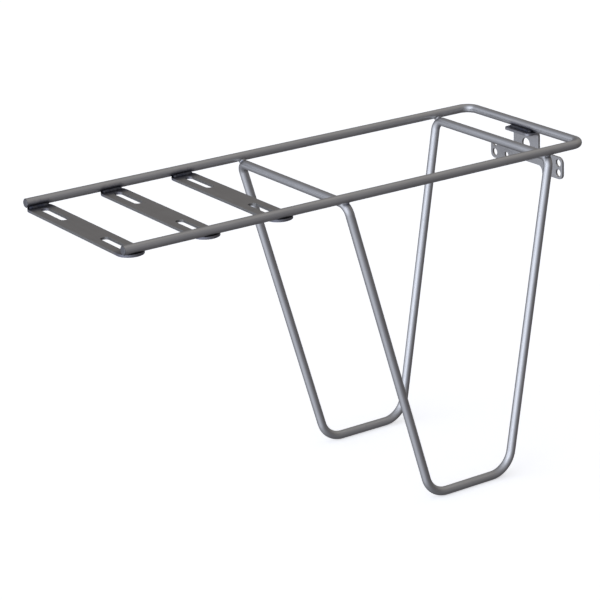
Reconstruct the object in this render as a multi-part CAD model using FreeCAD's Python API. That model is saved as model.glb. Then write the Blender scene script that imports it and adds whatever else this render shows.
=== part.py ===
import FreeCAD, Part
import math
import os

# Rear carrier for a bicycle, bent and welded from one size of round steel rod.
#
# Frame: +X runs to the back of the bicycle, +Y to its left and +Z up. The origin is the middle
# of the centre plate's underside, so z = 0 is the face that lies on the bicycle's frame.
# All sizes are in millimetres.

# Rod and top hoop
ROD_D = 7.0
RAIL_SPACING = 143.0        # between the centre lines of the two rails
HOOP_LENGTH = 413.0         # from the open front ends to the back of the rear bar
HOOP_BEND_R = 10.0          # centre line
END_CHAMFER = 0.5

# Slotted plates, welded under the rails
PLATE_W = 20.5
PLATE_T = 2.0
PLATE_PITCH = 61.4
FIRST_PLATE_FROM_END = 9.5  # so the front plate stands out a little past the rails
SLOT_W = 6.6
SLOT_LENGTH = 35.5
SLOT_SPACING = 88.5         # between the centres of the two slots in a plate

# Pannier loop: two bent arches, butt welded at the middle of each bottom run
BAR_FROM_END = {"front": 187.0, "rear": 376.0}   # cross bars, from the rails' open ends
FOOT_FROM_END = {"front": 257.5, "rear": 334.0}  # lower corners, before they are rounded
BAR_DROP = 5.1              # from the rails' centre lines down to the cross bars'
FOOT_DROP = 255.0           # and down to the bottom runs'
ARCH_TOP_BEND_R = 8.0
ARCH_FOOT_BEND_R = 20.0
BUTT_GAP = 1.6              # width of the weld metal between the two arches

# Lamp bracket, folded from sheet and welded under the rear bar
SHEET_T = 2.0
FOLD_INNER_R = 1.5
FLANGE_DEPTH = 12.6         # from the front edge to the back of the bracket
FLANGE_CORNER_R = 4.0
TAB_W = 31.0
TAB_ROOT_R = 1.5            # inside corners, where the tab meets the lamp plate
LAMP_PLATE_W = 90.0
LAMP_PLATE_TOP = 18.8       # this and the next two are depths below the rails' centre lines
LAMP_PLATE_BOTTOM = 30.7
EAR_BOTTOM = 36.8
EAR_INNER_GAP = 40.6        # between the two ears
EAR_TOP_R = 5.0
EAR_BOTTOM_R = 4.5
EAR_INNER_R = 1.0
EAR_ROOT_R = 4.8

# Lamp bracket holes
LAMP_OUTER_SPACING = 80.0
LAMP_OUTER_D = 6.0
LAMP_OUTER_DEPTHS = (23.7, 31.8)
LAMP_INNER_SPACING = 50.0
LAMP_INNER_D = 5.0
LAMP_INNER_DEPTH = 31.1
CENTRE_HOLE_D = 10.0
CENTRE_HOLE_DEPTH = 16.6

# Edges of the plates and the bracket
EDGE_R = 0.15
SHARP_TURN = 30.0           # degrees; faces that meet at more than this have a sharp edge

# Weld metal
BEAD_R = 1.7                # a bead is the part of this round section that its two pieces leave
BEAD_OFFSET = 3.6           # from the rod's centre line sideways to the bead's
PLATE_BEAD_LENGTH = 13.0
BRACKET_BEAD_LENGTH = 22.0
SADDLE_R = 2.8              # reach of the weld round the point where an arch meets a rail

# Worked out from the sizes above
ROD_R = ROD_D / 2
RAIL_Y = RAIL_SPACING / 2
RAIL_Z = PLATE_T + ROD_R
OPEN_END_X = -PLATE_PITCH - FIRST_PLATE_FROM_END
REAR_BAR_X = OPEN_END_X + HOOP_LENGTH - ROD_R
BRACKET_BACK_X = OPEN_END_X + HOOP_LENGTH
BAR_Z = RAIL_Z - BAR_DROP
FOOT_Z = RAIL_Z - FOOT_DROP
BUTT_X = OPEN_END_X + sum(FOOT_FROM_END.values()) / 2
PLATE_X = {"front": -PLATE_PITCH, "middle": 0.0, "rear": PLATE_PITCH}
SIDES = (-1, 1)

X_AXIS = FreeCAD.Vector(1, 0, 0)
Y_AXIS = FreeCAD.Vector(0, 1, 0)
Z_AXIS = FreeCAD.Vector(0, 0, 1)


def unit(vector):
    """The vector at length 1."""
    return vector / vector.Length


def corner_arc(before, corner, after, radius):
    """The tangent arc that rounds a corner, as its start, middle and end points."""
    incoming = unit(corner - before)
    outgoing = unit(after - corner)
    half_turn = math.acos(incoming.dot(outgoing)) / 2
    reach = radius * math.tan(half_turn)
    centre = corner + unit(outgoing - incoming) * (radius / math.cos(half_turn))
    middle = centre + unit(corner - centre) * radius
    return corner - incoming * reach, middle, corner + outgoing * reach


def rounded_edges(points, radii, closed):
    """Straight edges through the points, with a tangent arc at each corner that has a radius."""
    count = len(points)
    stops = []
    for i, point in enumerate(points):
        if radii[i]:
            stops.append(corner_arc(points[i - 1], point, points[(i + 1) % count], radii[i]))
        else:
            stops.append((point,))
    edges = []
    for here, there in zip(stops, stops[1:] + stops[:1] if closed else stops[1:]):
        if len(here) > 1:
            edges.append(Part.Arc(*here).toShape())
        edges.append(Part.LineSegment(here[-1], there[0]).toShape())
    return edges


def bent_rod(points, bend_radii):
    """One rod along straight runs and bends; bend_radii has one entry for each inner point."""
    path = Part.Wire(rounded_edges(points, [0, *bend_radii, 0], closed=False))
    section = Part.Circle(points[0], unit(points[1] - points[0]), ROD_R).toShape()
    return path.makePipe(Part.Face(Part.Wire(section)))


def extrusion(points, radii, depth):
    """A closed outline with rounded corners, pushed along the vector depth."""
    return Part.Face(Part.Wire(rounded_edges(points, radii, closed=True))).extrude(depth)


def stadium(centre, length, width, height):
    """A slab with full-round ends that is long in Y and rises from its centre's height."""
    half_run = (length - width) / 2
    slab = Part.makeBox(width, 2 * half_run, height, centre - FreeCAD.Vector(width / 2, half_run, 0))
    for side in SIDES:
        end = centre + FreeCAD.Vector(0, side * half_run, 0)
        slab = slab.fuse(Part.makeCylinder(width / 2, height, end, Z_AXIS))
    return slab.removeSplitter()


def sharp_edges(solid):
    """The edges at which a solid's two faces turn sharply."""
    chosen = []
    for edge in solid.Edges:
        middle = edge.valueAt((edge.FirstParameter + edge.LastParameter) / 2)
        normals = [face.normalAt(*face.Surface.parameter(middle))
                   for face in solid.ancestorsOfType(edge, Part.Face)]
        if len(normals) == 2 and math.degrees(normals[0].getAngle(normals[1])) > SHARP_TURN:
            chosen.append(edge)
    return chosen


def eased(solid):
    """The solid with its sharp edges rounded, as a deburred sheet part has them."""
    return solid.makeFillet(EDGE_R, sharp_edges(solid))


def top_hoop():
    """The two rails and the rear bar, bent from one rod and open at the front."""
    points = [
        FreeCAD.Vector(OPEN_END_X, -RAIL_Y, RAIL_Z),
        FreeCAD.Vector(REAR_BAR_X, -RAIL_Y, RAIL_Z),
        FreeCAD.Vector(REAR_BAR_X, RAIL_Y, RAIL_Z),
        FreeCAD.Vector(OPEN_END_X, RAIL_Y, RAIL_Z),
    ]
    rod = bent_rod(points, [HOOP_BEND_R, HOOP_BEND_R])
    rims = [edge for edge in rod.Edges if edge.BoundBox.XMax < OPEN_END_X + END_CHAMFER]
    return rod.makeChamfer(END_CHAMFER, rims)


def arch(which):
    """Half of the pannier loop: cross bar, two legs and half of each bottom run."""
    bar_x = OPEN_END_X + BAR_FROM_END[which]
    foot_x = OPEN_END_X + FOOT_FROM_END[which]
    end_x = BUTT_X - math.copysign(BUTT_GAP / 2, BUTT_X - foot_x)
    points = [
        FreeCAD.Vector(end_x, -RAIL_Y, FOOT_Z),
        FreeCAD.Vector(foot_x, -RAIL_Y, FOOT_Z),
        FreeCAD.Vector(bar_x, -RAIL_Y, BAR_Z),
        FreeCAD.Vector(bar_x, RAIL_Y, BAR_Z),
        FreeCAD.Vector(foot_x, RAIL_Y, FOOT_Z),
        FreeCAD.Vector(end_x, RAIL_Y, FOOT_Z),
    ]
    return bent_rod(points, [ARCH_FOOT_BEND_R, ARCH_TOP_BEND_R, ARCH_TOP_BEND_R, ARCH_FOOT_BEND_R])


def slotted_plate(x):
    """A flat plate across both rails, with full-round ends and two slots along its length."""
    plate = stadium(FreeCAD.Vector(x, 0, 0), RAIL_SPACING + ROD_D, PLATE_W, PLATE_T)
    for side in SIDES:
        centre = FreeCAD.Vector(x, side * SLOT_SPACING / 2, 0)
        plate = plate.cut(stadium(centre, SLOT_LENGTH, SLOT_W, PLATE_T))
    return eased(plate)


def lamp_plate(fold_z):
    """The upright sheet of the bracket below its fold: tab, lamp plate and two ears."""
    half = [
        (TAB_W / 2, fold_z, 0),
        (TAB_W / 2, RAIL_Z - LAMP_PLATE_TOP, TAB_ROOT_R),
        (LAMP_PLATE_W / 2, RAIL_Z - LAMP_PLATE_TOP, EAR_TOP_R),
        (LAMP_PLATE_W / 2, RAIL_Z - EAR_BOTTOM, EAR_BOTTOM_R),
        (EAR_INNER_GAP / 2, RAIL_Z - EAR_BOTTOM, EAR_INNER_R),
        (EAR_INNER_GAP / 2, RAIL_Z - LAMP_PLATE_BOTTOM, EAR_ROOT_R),
    ]
    outline = half + [(-y, z, radius) for y, z, radius in reversed(half)]
    points = [FreeCAD.Vector(BRACKET_BACK_X - SHEET_T, y, z) for y, z, _ in outline]
    return extrusion(points, [radius for _, _, radius in outline], X_AXIS * SHEET_T)


def flange_and_fold(fold_z):
    """The level flange under the rear bar and the fold that turns down to fold_z."""
    front_x = BRACKET_BACK_X - FLANGE_DEPTH
    inner_x = BRACKET_BACK_X - SHEET_T
    outline = [
        (front_x, 0, 0),
        (inner_x, 0, FOLD_INNER_R),
        (inner_x, fold_z, 0),
        (BRACKET_BACK_X, fold_z, 0),
        (BRACKET_BACK_X, SHEET_T, FOLD_INNER_R + SHEET_T),
        (front_x, SHEET_T, 0),
    ]
    points = [FreeCAD.Vector(x, -TAB_W / 2, z) for x, z, _ in outline]
    strip = extrusion(points, [radius for _, _, radius in outline], Y_AXIS * TAB_W)
    corners = [edge for edge in strip.Edges
               if edge.BoundBox.XMax < front_x + SHEET_T and edge.BoundBox.YLength < SHEET_T]
    return strip.makeFillet(FLANGE_CORNER_R, [edge for edge in corners if edge.BoundBox.ZLength > 0])


def bracket_hole(y, depth, diameter):
    """A drill through the bracket's upright sheet."""
    start = FreeCAD.Vector(BRACKET_BACK_X - 2 * SHEET_T, y, RAIL_Z - depth)
    return Part.makeCylinder(diameter / 2, 3 * SHEET_T, start, X_AXIS)


def lamp_bracket():
    """The folded sheet bracket with its lamp and reflector holes."""
    fold_z = -2 * FOLD_INNER_R
    bracket = lamp_plate(fold_z).fuse(flange_and_fold(fold_z)).removeSplitter()
    drills = [bracket_hole(0, CENTRE_HOLE_DEPTH, CENTRE_HOLE_D)]
    for side in SIDES:
        drills.append(bracket_hole(side * LAMP_INNER_SPACING / 2, LAMP_INNER_DEPTH, LAMP_INNER_D))
        for depth in LAMP_OUTER_DEPTHS:
            drills.append(bracket_hole(side * LAMP_OUTER_SPACING / 2, depth, LAMP_OUTER_D))
    return eased(bracket.cut(drills))


def bead(start, direction, length, neighbours):
    """A straight fillet weld with round ends, filling the corner between two pieces."""
    run = direction * length
    metal = Part.makeCylinder(BEAD_R, length, start, direction)
    metal = metal.fuse([Part.makeSphere(BEAD_R, start), Part.makeSphere(BEAD_R, start + run)])
    return biggest_solid(metal.removeSplitter().cut(neighbours))


def biggest_solid(shape):
    """The largest solid of a shape, which drops the slivers a cut leaves past a thin edge."""
    return max(shape.Solids, key=lambda solid: solid.Volume)


def plate_welds(x, hoop, plate):
    """The two beads that join a plate to the inner sides of the rails."""
    beads = []
    for side in SIDES:
        start = FreeCAD.Vector(x - PLATE_BEAD_LENGTH / 2, side * (RAIL_Y - BEAD_OFFSET), PLATE_T)
        beads.append(bead(start, X_AXIS, PLATE_BEAD_LENGTH, [hoop, plate]))
    return Part.makeCompound(beads)


def bracket_weld(hoop, bracket):
    """The bead that joins the bracket's flange to the front of the rear bar."""
    start = FreeCAD.Vector(REAR_BAR_X - BEAD_OFFSET, -BRACKET_BEAD_LENGTH / 2, PLATE_T)
    return bead(start, Y_AXIS, BRACKET_BEAD_LENGTH, [hoop, bracket])


def arch_welds(hoop, arch_rod):
    """The weld round each point where an arch's top bend comes up against a rail."""
    welds = []
    for side in SIDES:
        rail_axis = Part.LineSegment(
            FreeCAD.Vector(OPEN_END_X, side * RAIL_Y, RAIL_Z),
            FreeCAD.Vector(REAR_BAR_X, side * RAIL_Y, RAIL_Z),
        ).toShape()
        nearest_on_arch = rail_axis.distToShape(arch_rod)[1][0][1]
        welds.append(biggest_solid(Part.makeSphere(SADDLE_R, nearest_on_arch).cut([hoop, arch_rod])))
    return Part.makeCompound(welds)


def butt_welds():
    """The weld metal between the two arches, ground flush with the rod, one on each side."""
    discs = []
    for side in SIDES:
        start = FreeCAD.Vector(BUTT_X - BUTT_GAP / 2, side * RAIL_Y, FOOT_Z)
        discs.append(Part.makeCylinder(ROD_R, BUTT_GAP, start, X_AXIS))
    return Part.makeCompound(discs)


def build():
    """Every piece of the carrier by its name."""
    pieces = {"top_hoop": top_hoop()}
    for which in ("front", "rear"):
        pieces[which + "_arch"] = arch(which)
        pieces[which + "_arch_welds"] = arch_welds(pieces["top_hoop"], pieces[which + "_arch"])
    pieces["loop_butt_welds"] = butt_welds()
    for which, x in PLATE_X.items():
        plate = slotted_plate(x)
        pieces[which + "_plate"] = plate
        pieces[which + "_plate_welds"] = plate_welds(x, pieces["top_hoop"], plate)
    pieces["lamp_bracket"] = lamp_bracket()
    pieces["lamp_bracket_weld"] = bracket_weld(pieces["top_hoop"], pieces["lamp_bracket"])
    return pieces


os.makedirs("parts", exist_ok=True)
for name, shape in build().items():
    shape.exportStep(os.path.join("parts", name + ".step"))
    print(name, "volume", round(shape.Volume, 1), "solids", len(shape.Solids), "valid", shape.isValid())
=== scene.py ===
import math

import bpy
from mathutils import Matrix, Vector, noise


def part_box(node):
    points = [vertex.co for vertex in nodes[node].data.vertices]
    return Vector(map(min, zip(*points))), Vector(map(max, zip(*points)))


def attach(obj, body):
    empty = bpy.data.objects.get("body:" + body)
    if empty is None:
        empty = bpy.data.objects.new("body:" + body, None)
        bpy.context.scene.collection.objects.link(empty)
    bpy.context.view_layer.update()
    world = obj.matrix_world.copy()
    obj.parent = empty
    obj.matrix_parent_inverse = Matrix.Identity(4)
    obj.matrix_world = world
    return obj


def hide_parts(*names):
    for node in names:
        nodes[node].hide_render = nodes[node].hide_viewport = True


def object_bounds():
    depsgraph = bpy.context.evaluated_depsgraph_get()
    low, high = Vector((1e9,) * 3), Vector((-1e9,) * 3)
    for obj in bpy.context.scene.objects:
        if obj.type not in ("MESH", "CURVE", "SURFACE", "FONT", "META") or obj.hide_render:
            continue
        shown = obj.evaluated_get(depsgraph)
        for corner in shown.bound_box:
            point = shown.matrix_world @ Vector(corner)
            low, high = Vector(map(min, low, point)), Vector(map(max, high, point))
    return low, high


# A bicycle rear carrier: bent steel rod, slotted plates and a folded lamp bracket, all welded.
# Lengths are in metres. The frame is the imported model's: +X to the back of the bicycle, +Y to
# its left, +Z up, and z = 0 on the undersides of the slotted plates.

MM = 0.001

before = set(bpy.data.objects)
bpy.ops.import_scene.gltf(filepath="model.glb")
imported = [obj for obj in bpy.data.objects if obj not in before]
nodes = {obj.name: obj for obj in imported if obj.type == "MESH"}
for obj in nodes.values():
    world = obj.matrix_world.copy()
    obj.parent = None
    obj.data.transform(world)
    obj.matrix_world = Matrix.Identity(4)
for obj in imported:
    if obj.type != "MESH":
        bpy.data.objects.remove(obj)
cad_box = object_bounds()
PLATES = ("front_plate", "middle_plate", "rear_plate")

# ---------------------------------------------------------------- sizes

# The object's own, as it was designed
ROD_R = 3.5 * MM
HOOP_BEND_R = 10 * MM
ARCH_TOP_BEND_R = 8 * MM
FOOT_FROM_END = {"front": 257.5 * MM, "rear": 334 * MM}     # from the rails' open ends
PLATE_T = 2 * MM
BEAD_OFFSET = 3.6 * MM              # from a rod's centre line to the middle of a bead beside it
PLATE_BEAD_LENGTH = 13 * MM
BRACKET_BEAD_LENGTH = 22 * MM

# Read from the frame
hoop_low, hoop_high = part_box("top_hoop")
RAIL_Y = hoop_high.y - ROD_R
RAIL_Z = hoop_high.z - ROD_R
REAR_BAR_X = hoop_high.x - ROD_R
OPEN_END_X = hoop_low.x
BAR_X = {"front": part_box("front_arch")[0].x + ROD_R, "rear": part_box("rear_arch")[1].x - ROD_R}
FOOT_X = {which: OPEN_END_X + reach for which, reach in FOOT_FROM_END.items()}


# ---------------------------------------------------------------- shader maths

# Heat tint and painted shade by the joints: colour, the shares of the reach where it starts and is
# full, and its strength there
HEAT_TINTS_AND_JOINT_SHADE = (
    ((0.40, 0.345, 0.27), 1.05, 0.75, 0.22),        # straw
    ((0.175, 0.185, 0.235), 0.95, 0.50, 0.60),      # blue, and painted shade by the joint
    ((0.120, 0.120, 0.140), 0.70, 0.20, 0.70),      # grey scale, and painted shade by the joint
)
EDGE_SAMPLES = 6


class Maths:
    """A shader value. Adding or multiplying two of them makes the node that does it."""

    def __init__(self, tree, socket):
        self.tree, self.socket = tree, socket

    def node(self, operation, *values):
        made = self.tree.nodes.new("ShaderNodeMath")
        made.operation = operation
        for slot, value in zip(made.inputs, (self, *values)):
            if isinstance(value, Maths):
                self.tree.links.new(value.socket, slot)
            else:
                slot.default_value = value
        return Maths(self.tree, made.outputs[0])

    def __add__(self, other):
        return self.node("ADD", other)

    def __sub__(self, other):
        return self.node("SUBTRACT", other)

    def __mul__(self, other):
        return self.node("MULTIPLY", other)

    def __truediv__(self, other):
        return self.node("DIVIDE", other)

    def size(self):
        return self.node("ABSOLUTE")

    def at_least(self, other):
        return self.node("MAXIMUM", other)

    def at_most(self, other):
        return self.node("MINIMUM", other)

    def hypot(self, other):
        return (self * self + other * other).node("SQRT")

    def ramp(self, low, high):
        """0 below low, 1 above high, and smooth in between. Low may be the larger one."""
        made = self.tree.nodes.new("ShaderNodeMapRange")
        made.interpolation_type = "SMOOTHSTEP"
        self.tree.links.new(self.socket, made.inputs["Value"])
        if low > high:
            low, high = high, low
            made.inputs["To Min"].default_value, made.inputs["To Max"].default_value = 1, 0
        made.inputs["From Min"].default_value = low
        made.inputs["From Max"].default_value = high
        return Maths(self.tree, made.outputs["Result"])


class Surface:
    """One node material and the tools that build its pattern."""

    def __init__(self, name):
        self.material = bpy.data.materials.new(name)
        self.material.use_nodes = True
        self.tree = self.material.node_tree
        self.tree.nodes.clear()
        output = self.tree.nodes.new("ShaderNodeOutputMaterial")
        self.shader = self.tree.nodes.new("ShaderNodeBsdfPrincipled")
        self.link(self.shader.outputs["BSDF"], output.inputs["Surface"])
        coordinates = self.tree.nodes.new("ShaderNodeTexCoord")
        self.place = coordinates.outputs["Object"]
        parts = self.tree.nodes.new("ShaderNodeSeparateXYZ")
        self.link(self.place, parts.inputs[0])
        self.x, self.y, self.z = (Maths(self.tree, parts.outputs[i]) for i in range(3))

    def link(self, source, target):
        self.tree.links.new(source, target)

    def facing(self, axes):
        """1 on faces that look along one of the axes, less on those that are turned away."""
        geometry = self.tree.nodes.new("ShaderNodeNewGeometry")
        parts = self.tree.nodes.new("ShaderNodeSeparateXYZ")
        self.link(geometry.outputs["Normal"], parts.inputs[0])
        most = None
        for axis in axes:
            along = Maths(self.tree, parts.outputs["xyz".index(axis)]).size()
            most = along if most is None else most.at_least(along)
        return most

    def vector(self, x, y, z):
        made = self.tree.nodes.new("ShaderNodeCombineXYZ")
        for slot, value in zip(made.inputs, (x, y, z)):
            if isinstance(value, Maths):
                self.link(value.socket, slot)
            else:
                slot.default_value = value
        return made.outputs[0]

    def noise(self, vector, scale=1.0, detail=2.0, roughness=0.5):
        made = self.tree.nodes.new("ShaderNodeTexNoise")
        self.link(vector, made.inputs["Vector"])
        made.inputs["Scale"].default_value = scale
        made.inputs["Detail"].default_value = detail
        made.inputs["Roughness"].default_value = roughness
        return Maths(self.tree, made.outputs["Fac"])

    def cells(self, vector):
        made = self.tree.nodes.new("ShaderNodeTexVoronoi")
        self.link(vector, made.inputs["Vector"])
        made.inputs["Scale"].default_value = 1
        return Maths(self.tree, made.outputs["Distance"])

    def blend(self, share, first, second):
        """A colour that goes from first to second as share goes from 0 to 1."""
        made = self.tree.nodes.new("ShaderNodeMix")
        made.data_type = "RGBA"
        self.link(share.socket, made.inputs["Factor"])
        for slot, colour in (("A", first), ("B", second)):
            target = next(s for s in made.inputs if s.name == slot and s.type == "RGBA")
            if isinstance(colour, tuple):
                target.default_value = (*colour, 1)
            else:
                self.link(colour, target)
        return next(s for s in made.outputs if s.type == "RGBA")

    def edges(self, reach):
        """1 on the edges of the solid, 0 on its flat or gently curved faces."""
        bevel = self.tree.nodes.new("ShaderNodeBevel")
        bevel.samples = EDGE_SAMPLES
        bevel.inputs["Radius"].default_value = reach
        geometry = self.tree.nodes.new("ShaderNodeNewGeometry")
        dot = self.tree.nodes.new("ShaderNodeVectorMath")
        dot.operation = "DOT_PRODUCT"
        self.link(bevel.outputs[0], dot.inputs[0])
        self.link(geometry.outputs["Normal"], dot.inputs[1])
        return Maths(self.tree, dot.outputs["Value"]).ramp(0.995, 0.80)

    def heat_tint_and_joint_shade(self, colour, distance, reach, strength=1.0):
        """Heat tint: straw, then blue, then grey scale, as the distance from a weld falls below
        reach. The blue and grey are partly painted shade in the joint.
        """
        uneven = self.noise(self.place, scale=1 / (2.4 * MM), detail=2) - 0.5
        near = (distance + uneven * (2.2 * MM)) / reach
        for tint, start, full, share in HEAT_TINTS_AND_JOINT_SHADE:
            colour = self.blend(near.ramp(start, full) * (share * strength), colour, tint)
        return colour

    def bumps(self, *layers):
        """Stacks height fields, each with its depth in metres, into the shader's normal."""
        normal = None
        for height, depth in layers:
            made = self.tree.nodes.new("ShaderNodeBump")
            made.inputs["Distance"].default_value = depth
            self.link(height.socket, made.inputs["Height"])
            if normal:
                self.link(normal, made.inputs["Normal"])
            normal = made.outputs[0]
        self.link(normal, self.shader.inputs["Normal"])

    def finish(self, colour, roughness):
        """Makes it a metal with that colour and roughness."""
        self.link(colour, self.shader.inputs["Base Color"])
        self.link(roughness.socket, self.shader.inputs["Roughness"])
        self.shader.inputs["Metallic"].default_value = 1
        return self.material


def rounded(a, b, radius):
    """How far a point is outside a rounded corner: along a beyond it, along b beyond it."""
    return a.at_least(0).hypot(b.at_least(0)) - radius


# ---------------------------------------------------------------- distances from the welds

def plate_weld_distance(s):
    """From the beads along the inner sides of the two rails, over the three plates."""
    along = None
    for node in PLATES:
        low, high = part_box(node)
        from_plate = (s.x - (low.x + high.x) / 2).size()
        along = from_plate if along is None else along.at_most(from_plate)
    beyond = (along - PLATE_BEAD_LENGTH / 2).at_least(0)
    return beyond.hypot((s.y.size() - (RAIL_Y - BEAD_OFFSET)).hypot(s.z - PLATE_T))


def bracket_weld_distance(s):
    """From the bead under the rear bar."""
    beyond = (s.y.size() - BRACKET_BEAD_LENGTH / 2).at_least(0)
    return beyond.hypot((s.x - (REAR_BAR_X - BEAD_OFFSET)).hypot(s.z - PLATE_T))


def arch_weld_distance(s, bar_x):
    """From the two welds between an arch and the rails."""
    return (s.x - bar_x).hypot((s.y.size() - RAIL_Y).hypot(s.z - (RAIL_Z - ROD_R)))


# ---------------------------------------------------------------- materials

def rod_steel(name, across, saddle_distance, bead_distance=None, sawn_x=None):
    """Drawn steel rod. across gives two distances from the rod's centre line, at right angles.
    The saddle welds and the beads give it their heat tint, with painted shade in the joints. The
    faces at sawn_x are saw-cut ends, duller than the drawn skin and darkened as painted shade."""
    s = Surface(name)
    first, second = across(s)
    along = s.x + s.y * 0.6 + s.z * 0.8     # grows along every run, at much the same rate

    def drawn(width, length):
        return s.vector(first / width, second / width, along / length)

    lines = s.noise(drawn(0.45 * MM, 60 * MM), detail=3, roughness=0.6)
    bands = s.noise(drawn(1.8 * MM, 130 * MM), detail=1)
    clouds = s.noise(s.place, scale=1 / (38 * MM), detail=3, roughness=0.55)
    grit = s.noise(s.place, scale=1 / (0.5 * MM), detail=2)
    nicks = s.cells(drawn(1.6 * MM, 9 * MM)).ramp(0.10, 0.04)
    tone = (lines * 0.45 + bands * 0.30 + clouds * 0.25).ramp(0.32, 0.68)
    colour = s.blend(tone, (0.41, 0.41, 0.41), (0.49, 0.49, 0.49))
    colour = s.blend(nicks * 0.25, colour, (0.28, 0.275, 0.27))
    # Heat tint by the beads and the saddle welds, whose blue and grey are also painted shade in the
    # joints.
    if bead_distance:
        colour = s.heat_tint_and_joint_shade(colour, bead_distance(s), 6 * MM)
    colour = s.heat_tint_and_joint_shade(colour, saddle_distance(s), 7 * MM, strength=0.35)
    roughness = lines * 0.10 + clouds * 0.08 + grit * 0.06 + 0.24
    # Saw-cut end faces: sawing marks and more roughness, and a dark colour that is painted shade.
    if sawn_x is not None:
        sawn_end_and_shade = s.x.ramp(sawn_x + 0.60 * MM, sawn_x + 0.45 * MM)     # takes in the chamfer
        marks = s.noise(s.vector(s.y / (6 * MM), s.z / (0.22 * MM), 0), detail=2)
        colour = s.blend(sawn_end_and_shade, colour, s.blend(marks, (0.125, 0.125, 0.133), (0.215, 0.215, 0.225)))
        roughness = roughness + sawn_end_and_shade * 0.12
    s.bumps((bands, 0.05 * MM), (lines, 0.02 * MM), (grit, 0.01 * MM))
    return s.finish(colour, roughness)


def hoop_across(s):
    """For the top hoop: in plan, and in height."""
    corner_x = REAR_BAR_X - HOOP_BEND_R
    corner_y = RAIL_Y - HOOP_BEND_R
    plan = rounded(s.x - corner_x, s.y.size() - corner_y, HOOP_BEND_R)
    return plan, s.z - RAIL_Z


def arch_across(bar_x, bar_z, foot_x, foot_z):
    """For an arch whose leg runs from its cross bar at (bar_x, bar_z) to (foot_x, foot_z)."""
    down = Vector((foot_x - bar_x, foot_z - bar_z)).normalized()
    out = Vector((-down.y, down.x)) * (1 if foot_x > bar_x else -1)

    def across(s):
        fall = (s.x - bar_x) * down.x + (s.z - bar_z) * down.y
        outward = s.y.size() - (RAIL_Y - ARCH_TOP_BEND_R)
        face = rounded(outward, (fall * -1) + ARCH_TOP_BEND_R, ARCH_TOP_BEND_R)
        beside = (s.x - bar_x) * out.x + (s.z - bar_z) * out.y
        below = (s.z - foot_z) * -1
        return face, (beside * -1).at_least(below)

    return across


def sheet_steel(name, light, dark, grain_axis, faces, edge_dulling_and_shade, weld_distance, tint_and_shade_reach):
    """Cold rolled sheet with punched edges. grain_axis is the way it was rolled, faces are the
    axes that its flat faces look along, the edge tone dulls the punched edges and darkens them
    with painted shade, and the heat reach is how far the heat tint, with painted shade by the
    joints, spreads from the welds."""
    s = Surface(name)
    places = {"x": s.x, "y": s.y, "z": s.z}

    def rolled(width, length):
        return s.vector(*(places[a] / (length if a == grain_axis else width) for a in "xyz"))

    grain = s.noise(rolled(0.35 * MM, 14 * MM), detail=3, roughness=0.6)
    bands = s.noise(rolled(3.0 * MM, 60 * MM), detail=2)
    clouds = s.noise(s.place, scale=1 / (16 * MM), detail=4, roughness=0.6)
    grit = s.noise(s.place, scale=1 / (0.4 * MM), detail=2)
    tone = (grain * 0.35 + bands * 0.25 + clouds * 0.4).ramp(0.34, 0.66)
    colour = s.blend(tone, dark, light)
    punched = s.facing(faces).ramp(0.85, 0.35)
    tears = s.noise(s.place, scale=1 / (0.45 * MM), detail=3, roughness=0.65)
    # Punched edges: torn texture and duller metal, made darker still as painted shade where the
    # edge tone is below 1.
    edge_light = tuple(c * edge_dulling_and_shade for c in light)
    edge_dark = tuple(c * edge_dulling_and_shade * 0.6 for c in dark)
    colour = s.blend(punched, colour, s.blend(tears.ramp(0.35, 0.65), edge_dark, edge_light))
    scuffs = s.noise(s.place, scale=1 / (2.5 * MM), detail=3).ramp(0.38, 0.62)
    worn = s.edges(0.5 * MM) * scuffs
    colour = s.blend(worn * 0.35, colour, (0.60, 0.60, 0.61))
    # Heat tint by the welds, whose blue and grey also darken the sheet next to the joints as
    # painted shade.
    colour = s.heat_tint_and_joint_shade(colour, weld_distance(s), tint_and_shade_reach)
    roughness = (grain * 0.08 + clouds * 0.10 + grit * 0.06 + punched * 0.12 + 0.22) - worn * 0.06
    s.bumps(
        (bands, 0.04 * MM),
        (grain, 0.015 * MM),
        (grit, 0.012 * MM),
        (tears * punched, 0.05 * MM),
    )
    return s.finish(colour, roughness)


def weld_steel(name, dark, light, smoothest):
    """Weld metal under a skin of scale, with a blue tint in places and fine grit. smoothest is
    its least roughness."""
    s = Surface(name)
    clouds = s.noise(s.place, scale=1 / (2.2 * MM), detail=3, roughness=0.6)
    grit = s.noise(s.place, scale=1 / (0.25 * MM), detail=2)
    tint = s.noise(s.place, scale=1 / (3.1 * MM), detail=2).ramp(0.50, 0.62)
    blue = (dark[0] * 1.1, dark[1] * 1.25, dark[2] * 1.7)
    colour = s.blend(tint * 0.5, s.blend(clouds.ramp(0.35, 0.65), dark, light), blue)
    roughness = clouds * 0.16 + grit * 0.10 + smoothest
    s.bumps((clouds, 0.05 * MM), (grit, 0.02 * MM))
    return s.finish(colour, roughness)


def dressed_weld(name):
    """Butt weld metal ground flush with the rod, with fine marks round it."""
    s = Surface(name)
    marks = s.noise(s.vector(s.x / (0.12 * MM), s.y / (8 * MM), s.z / (8 * MM)), detail=3)
    clouds = s.noise(s.place, scale=1 / (3 * MM), detail=2)
    colour = s.blend(marks * 0.6 + clouds * 0.4, (0.38, 0.38, 0.38), (0.50, 0.50, 0.50))
    roughness = marks * 0.12 + clouds * 0.08 + 0.26
    s.bumps((marks, 0.008 * MM), (clouds, 0.01 * MM))
    return s.finish(colour, roughness)


def smooth_joins(node_name):
    """Lets the shading run on evenly where a bend meets a straight run, by modifiers only."""
    node = nodes[node_name]
    join = node.modifiers.new("join_borders", "WELD")
    join.merge_threshold = 0.002 * MM
    even = node.modifiers.new("even_shading", "WEIGHTED_NORMAL")
    even.keep_sharp = True


def dress(node_name, material):
    """Gives a CAD node its material."""
    data = nodes[node_name].data
    data.materials.clear()
    data.materials.append(material)


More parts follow.
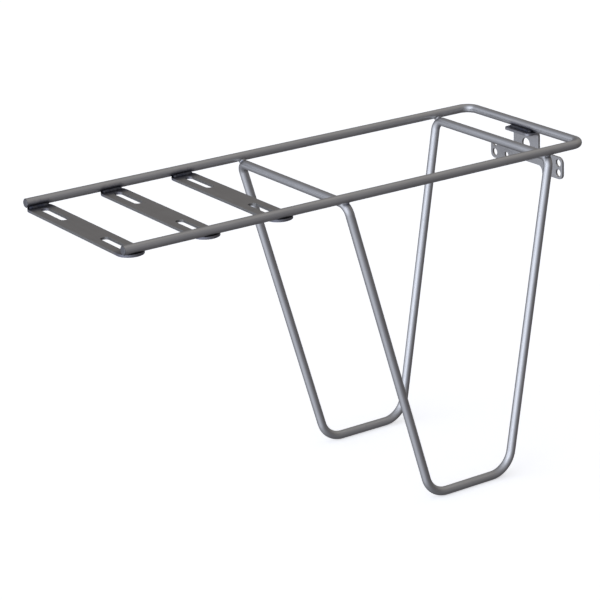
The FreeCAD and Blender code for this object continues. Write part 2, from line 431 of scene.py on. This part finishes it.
dress("top_hoop", rod_steel(
    "drawn_rod_hoop",
    hoop_across,
    lambda s: arch_weld_distance(s, BAR_X["front"]).at_most(arch_weld_distance(s, BAR_X["rear"])),
    lambda s: plate_weld_distance(s).at_most(bracket_weld_distance(s)),
    sawn_x=OPEN_END_X,
))
for which in ("front", "rear"):
    node = which + "_arch"
    low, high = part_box(node)
    dress(node, rod_steel(
        "drawn_rod_" + node,
        arch_across(BAR_X[which], high.z - ROD_R, FOOT_X[which], low.z + ROD_R),
        lambda s, bar_x=BAR_X[which]: arch_weld_distance(s, bar_x),
    ))
for node in ("top_hoop", "front_arch", "rear_arch"):
    smooth_joins(node)
plate_material = sheet_steel(
    "rolled_plate",
    light=(0.397, 0.392, 0.382),
    dark=(0.355, 0.35, 0.34),
    grain_axis="y",
    faces="z",
    # The plates' edges are darkened as painted shade as well as dulled.
    edge_dulling_and_shade=0.72,
    weld_distance=plate_weld_distance,
    tint_and_shade_reach=12 * MM,
)
for node in PLATES:
    dress(node, plate_material)
dress("lamp_bracket", sheet_steel(
    "folded_bracket",
    light=(0.42, 0.415, 0.41),
    dark=(0.38, 0.375, 0.37),
    grain_axis="y",
    faces="xz",
    edge_dulling_and_shade=1.0,
    weld_distance=bracket_weld_distance,
    tint_and_shade_reach=9 * MM,
))
# The plate and bracket beads: near-black scale, darkened further as painted shade in the joints.
BEAD_SCALE_AND_SHADE_STEEL = weld_steel("weld_metal_scale_and_shade", (0.046, 0.046, 0.052), (0.098, 0.098, 0.108), 0.50)
SADDLE_STEEL = weld_steel("weld_metal_bright", (0.22, 0.215, 0.215), (0.38, 0.375, 0.37), 0.32)
dress("loop_butt_welds", dressed_weld("dressed_butt_weld"))


# ---------------------------------------------------------------- weld beads

# In millimetres, because the beads are worked on at that scale
WELD_VOXEL = 0.16
RIPPLE_PITCH = 0.95
RIPPLE_DEPTH = 0.16
SADDLE_RIPPLE_DEPTH = 0.07
RIPPLE_BOW = 0.45           # how far a ripple falls back at the bead's toes
BEAD_HALF_WIDTH = 1.7
SADDLE_RIPPLES = 14         # round one crossing
RIPPLE_LIFT = 0.05          # evenly over the whole bead
UNEVENNESS = 0.05
UNEVEN_SCALE = 1.7


def rippled_weld(node_name, phase_at, material=BEAD_SCALE_AND_SHADE_STEEL, depth=RIPPLE_DEPTH):
    """A weld in its CAD node's place, with the overlapping ripples that the puddle leaves."""
    mesh = nodes[node_name].data.copy()
    mesh.transform(Matrix.Scale(1 / MM, 4))
    blank = bpy.data.objects.new(node_name + "_blank", mesh)
    bpy.context.scene.collection.objects.link(blank)
    remesh = blank.modifiers.new("even", "REMESH")
    remesh.mode = "VOXEL"
    remesh.voxel_size = WELD_VOXEL
    smooth = blank.modifiers.new("soften", "SMOOTH")
    smooth.iterations = 3
    depsgraph = bpy.context.evaluated_depsgraph_get()
    final = bpy.data.meshes.new_from_object(blank.evaluated_get(depsgraph))
    bpy.data.objects.remove(blank)
    moves = []
    for vertex in final.vertices:
        phase = phase_at(vertex.co) % 1.0
        lift = depth * (phase * phase - 0.35) + RIPPLE_LIFT
        lift += UNEVENNESS * noise.noise(vertex.co * UNEVEN_SCALE)
        moves.append(vertex.normal * lift)
    for vertex, move in zip(final.vertices, moves):
        vertex.co += move
    final.transform(Matrix.Scale(MM, 4))
    for face in final.polygons:
        face.use_smooth = True
    final.materials.clear()
    final.materials.append(material)
    bead = bpy.data.objects.new(node_name + "_beads", final)
    bpy.context.scene.collection.objects.link(bead)
    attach(bead, "root")
    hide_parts(node_name)


def straight_ripples(axis, side_axis, side_centre):
    """Ripples across a bead along axis, bowed back at its two toes."""
    def phase_at(co):
        off = (abs(co[side_axis]) - side_centre) / BEAD_HALF_WIDTH
        return (co[axis] + RIPPLE_BOW * off * off) / RIPPLE_PITCH
    return phase_at


def round_ripples(centre_x):
    """Ripples that go round the place where two rods cross."""
    def phase_at(co):
        angle = math.atan2(abs(co.y) - RAIL_Y / MM, co.x - centre_x)
        return angle / math.tau * SADDLE_RIPPLES + 0.3 * co.z
    return phase_at


for node in PLATES:
    rippled_weld(node + "_welds", straight_ripples(0, 1, (RAIL_Y - BEAD_OFFSET) / MM))
rippled_weld("lamp_bracket_weld", straight_ripples(1, 0, (REAR_BAR_X - BEAD_OFFSET) / MM))
for which in ("front", "rear"):
    rippled_weld(
        which + "_arch_welds",
        round_ripples(BAR_X[which] / MM),
        SADDLE_STEEL,
        SADDLE_RIPPLE_DEPTH,
    )


# ---------------------------------------------------------------- stage

def backdrop():
    """A pale floor that curves up all round, far from the object."""
    floor_z = cad_box[0].z
    flat_r, rim_r, rise, rings, spokes = 3.2, 5.0, 3.6, 14, 96
    profile = [(0.0, floor_z), (flat_r * 0.5, floor_z)]
    for i in range(rings + 1):
        turn = i / rings * math.pi / 2
        profile.append((
            flat_r + (rim_r - flat_r) * math.sin(turn),
            floor_z + rise * (1 - math.cos(turn)),
        ))
    vertices = [(0, 0, floor_z)]
    faces = []
    for r, z in profile[1:]:
        for k in range(spokes):
            a = k / spokes * math.tau
            vertices.append((r * math.cos(a), r * math.sin(a), z))
    for k in range(spokes):
        faces.append((0, 1 + k, 1 + (k + 1) % spokes))
    for ring in range(len(profile) - 2):
        base = 1 + ring * spokes
        for k in range(spokes):
            nxt = (k + 1) % spokes
            faces.append((base + k, base + spokes + k, base + spokes + nxt, base + nxt))
    mesh = bpy.data.meshes.new("backdrop")
    mesh.from_pydata(vertices, [], faces)
    for face in mesh.polygons:
        face.use_smooth = True
    floor = bpy.data.objects.new("backdrop", mesh)
    bpy.context.scene.collection.objects.link(floor)
    floor.visible_diffuse = False
    floor.visible_glossy = False
    floor.visible_shadow = False
    return floor


def paper():
    """Pale seamless paper, lit through so that shadows on it stay faint."""
    material = bpy.data.materials.new("seamless_paper")
    material.use_nodes = True
    tree = material.node_tree
    tree.nodes.clear()
    output = tree.nodes.new("ShaderNodeOutputMaterial")
    add = tree.nodes.new("ShaderNodeAddShader")
    diffuse = tree.nodes.new("ShaderNodeBsdfDiffuse")
    diffuse.inputs["Color"].default_value = (0.80, 0.80, 0.79, 1)
    glow = tree.nodes.new("ShaderNodeEmission")
    glow.inputs["Color"].default_value = (1, 1, 1, 1)
    glow.inputs["Strength"].default_value = 0.48
    tree.links.new(diffuse.outputs[0], add.inputs[0])
    tree.links.new(glow.outputs[0], add.inputs[1])
    tree.links.new(add.outputs[0], output.inputs["Surface"])
    return material


floor = backdrop()
floor.data.materials.append(paper())


def heading(azimuth, elevation):
    """The unit vector that points that way; azimuth 0 is +X and 90 is +Y."""
    a, e = math.radians(azimuth), math.radians(elevation)
    return Vector((math.cos(a) * math.cos(e), math.sin(a) * math.cos(e), math.sin(e)))


def studio_light(spill, glows):
    """A soft surround: even spill, and broad glows as (towards, tightness, colour)."""
    world = bpy.data.worlds.new("studio")
    bpy.context.scene.world = world
    world.use_nodes = True
    tree = world.node_tree
    tree.nodes.clear()
    output = tree.nodes.new("ShaderNodeOutputWorld")
    background = tree.nodes.new("ShaderNodeBackground")
    tree.links.new(background.outputs[0], output.inputs["Surface"])
    towards = tree.nodes.new("ShaderNodeTexCoord").outputs["Generated"]
    total = tree.nodes.new("ShaderNodeVectorMath")
    total.operation = "ADD"
    total.inputs[0].default_value = spill
    total.inputs[1].default_value = (0, 0, 0)
    for aim, tightness, colour in glows:
        dot = tree.nodes.new("ShaderNodeVectorMath")
        dot.operation = "DOT_PRODUCT"
        tree.links.new(towards, dot.inputs[0])
        dot.inputs[1].default_value = aim
        share = ((Maths(tree, dot.outputs["Value"]) - 1) * tightness).node("EXPONENT")
        glow = tree.nodes.new("ShaderNodeVectorMath")
        glow.operation = "SCALE"
        glow.inputs[0].default_value = colour
        tree.links.new(share.socket, glow.inputs["Scale"])
        more = tree.nodes.new("ShaderNodeVectorMath")
        more.operation = "ADD"
        tree.links.new(total.outputs[0], more.inputs[0])
        tree.links.new(glow.outputs[0], more.inputs[1])
        total = more
    tree.links.new(total.outputs[0], background.inputs["Color"])


studio_light(
    spill=(0.088, 0.081, 0.084),
    glows=(
        (heading(189, 9), 2.4, (2.15, 2.28, 2.60)),
        (heading(7, 45), 3.6, (0.47, 0.45, 0.42)),
        (heading(-72, -2), 5.0, (0.085, 0.082, 0.085)),
    ),
)


# ---------------------------------------------------------------- camera

camera_data = bpy.data.cameras.new("camera")
camera_data.sensor_width = 36
camera_data.lens = 141.06
camera_data.shift_x = -0.00083
camera_data.shift_y = 0.00083
camera = bpy.data.objects.new("camera", camera_data)
bpy.context.scene.collection.objects.link(camera)
bpy.context.scene.camera = camera
CAMERA_PLACE = Vector((-0.8051, -1.4139, 0.5066))
AZIMUTH, ELEVATION, ROLL = (math.radians(a) for a in (-33.18, 19.56, -2.18))
back = Vector((
    math.sin(AZIMUTH) * math.cos(ELEVATION),
    -math.cos(AZIMUTH) * math.cos(ELEVATION),
    math.sin(ELEVATION),
))
camera.rotation_mode = "QUATERNION"
level = (-back).to_track_quat("-Z", "Y")
camera.rotation_quaternion = level @ Matrix.Rotation(ROLL, 3, "Z").to_quaternion()
camera.location = CAMERA_PLACE
camera_data.clip_start = 0.05
camera_data.clip_end = 50

bpy.context.scene.view_settings.view_transform = "Standard"
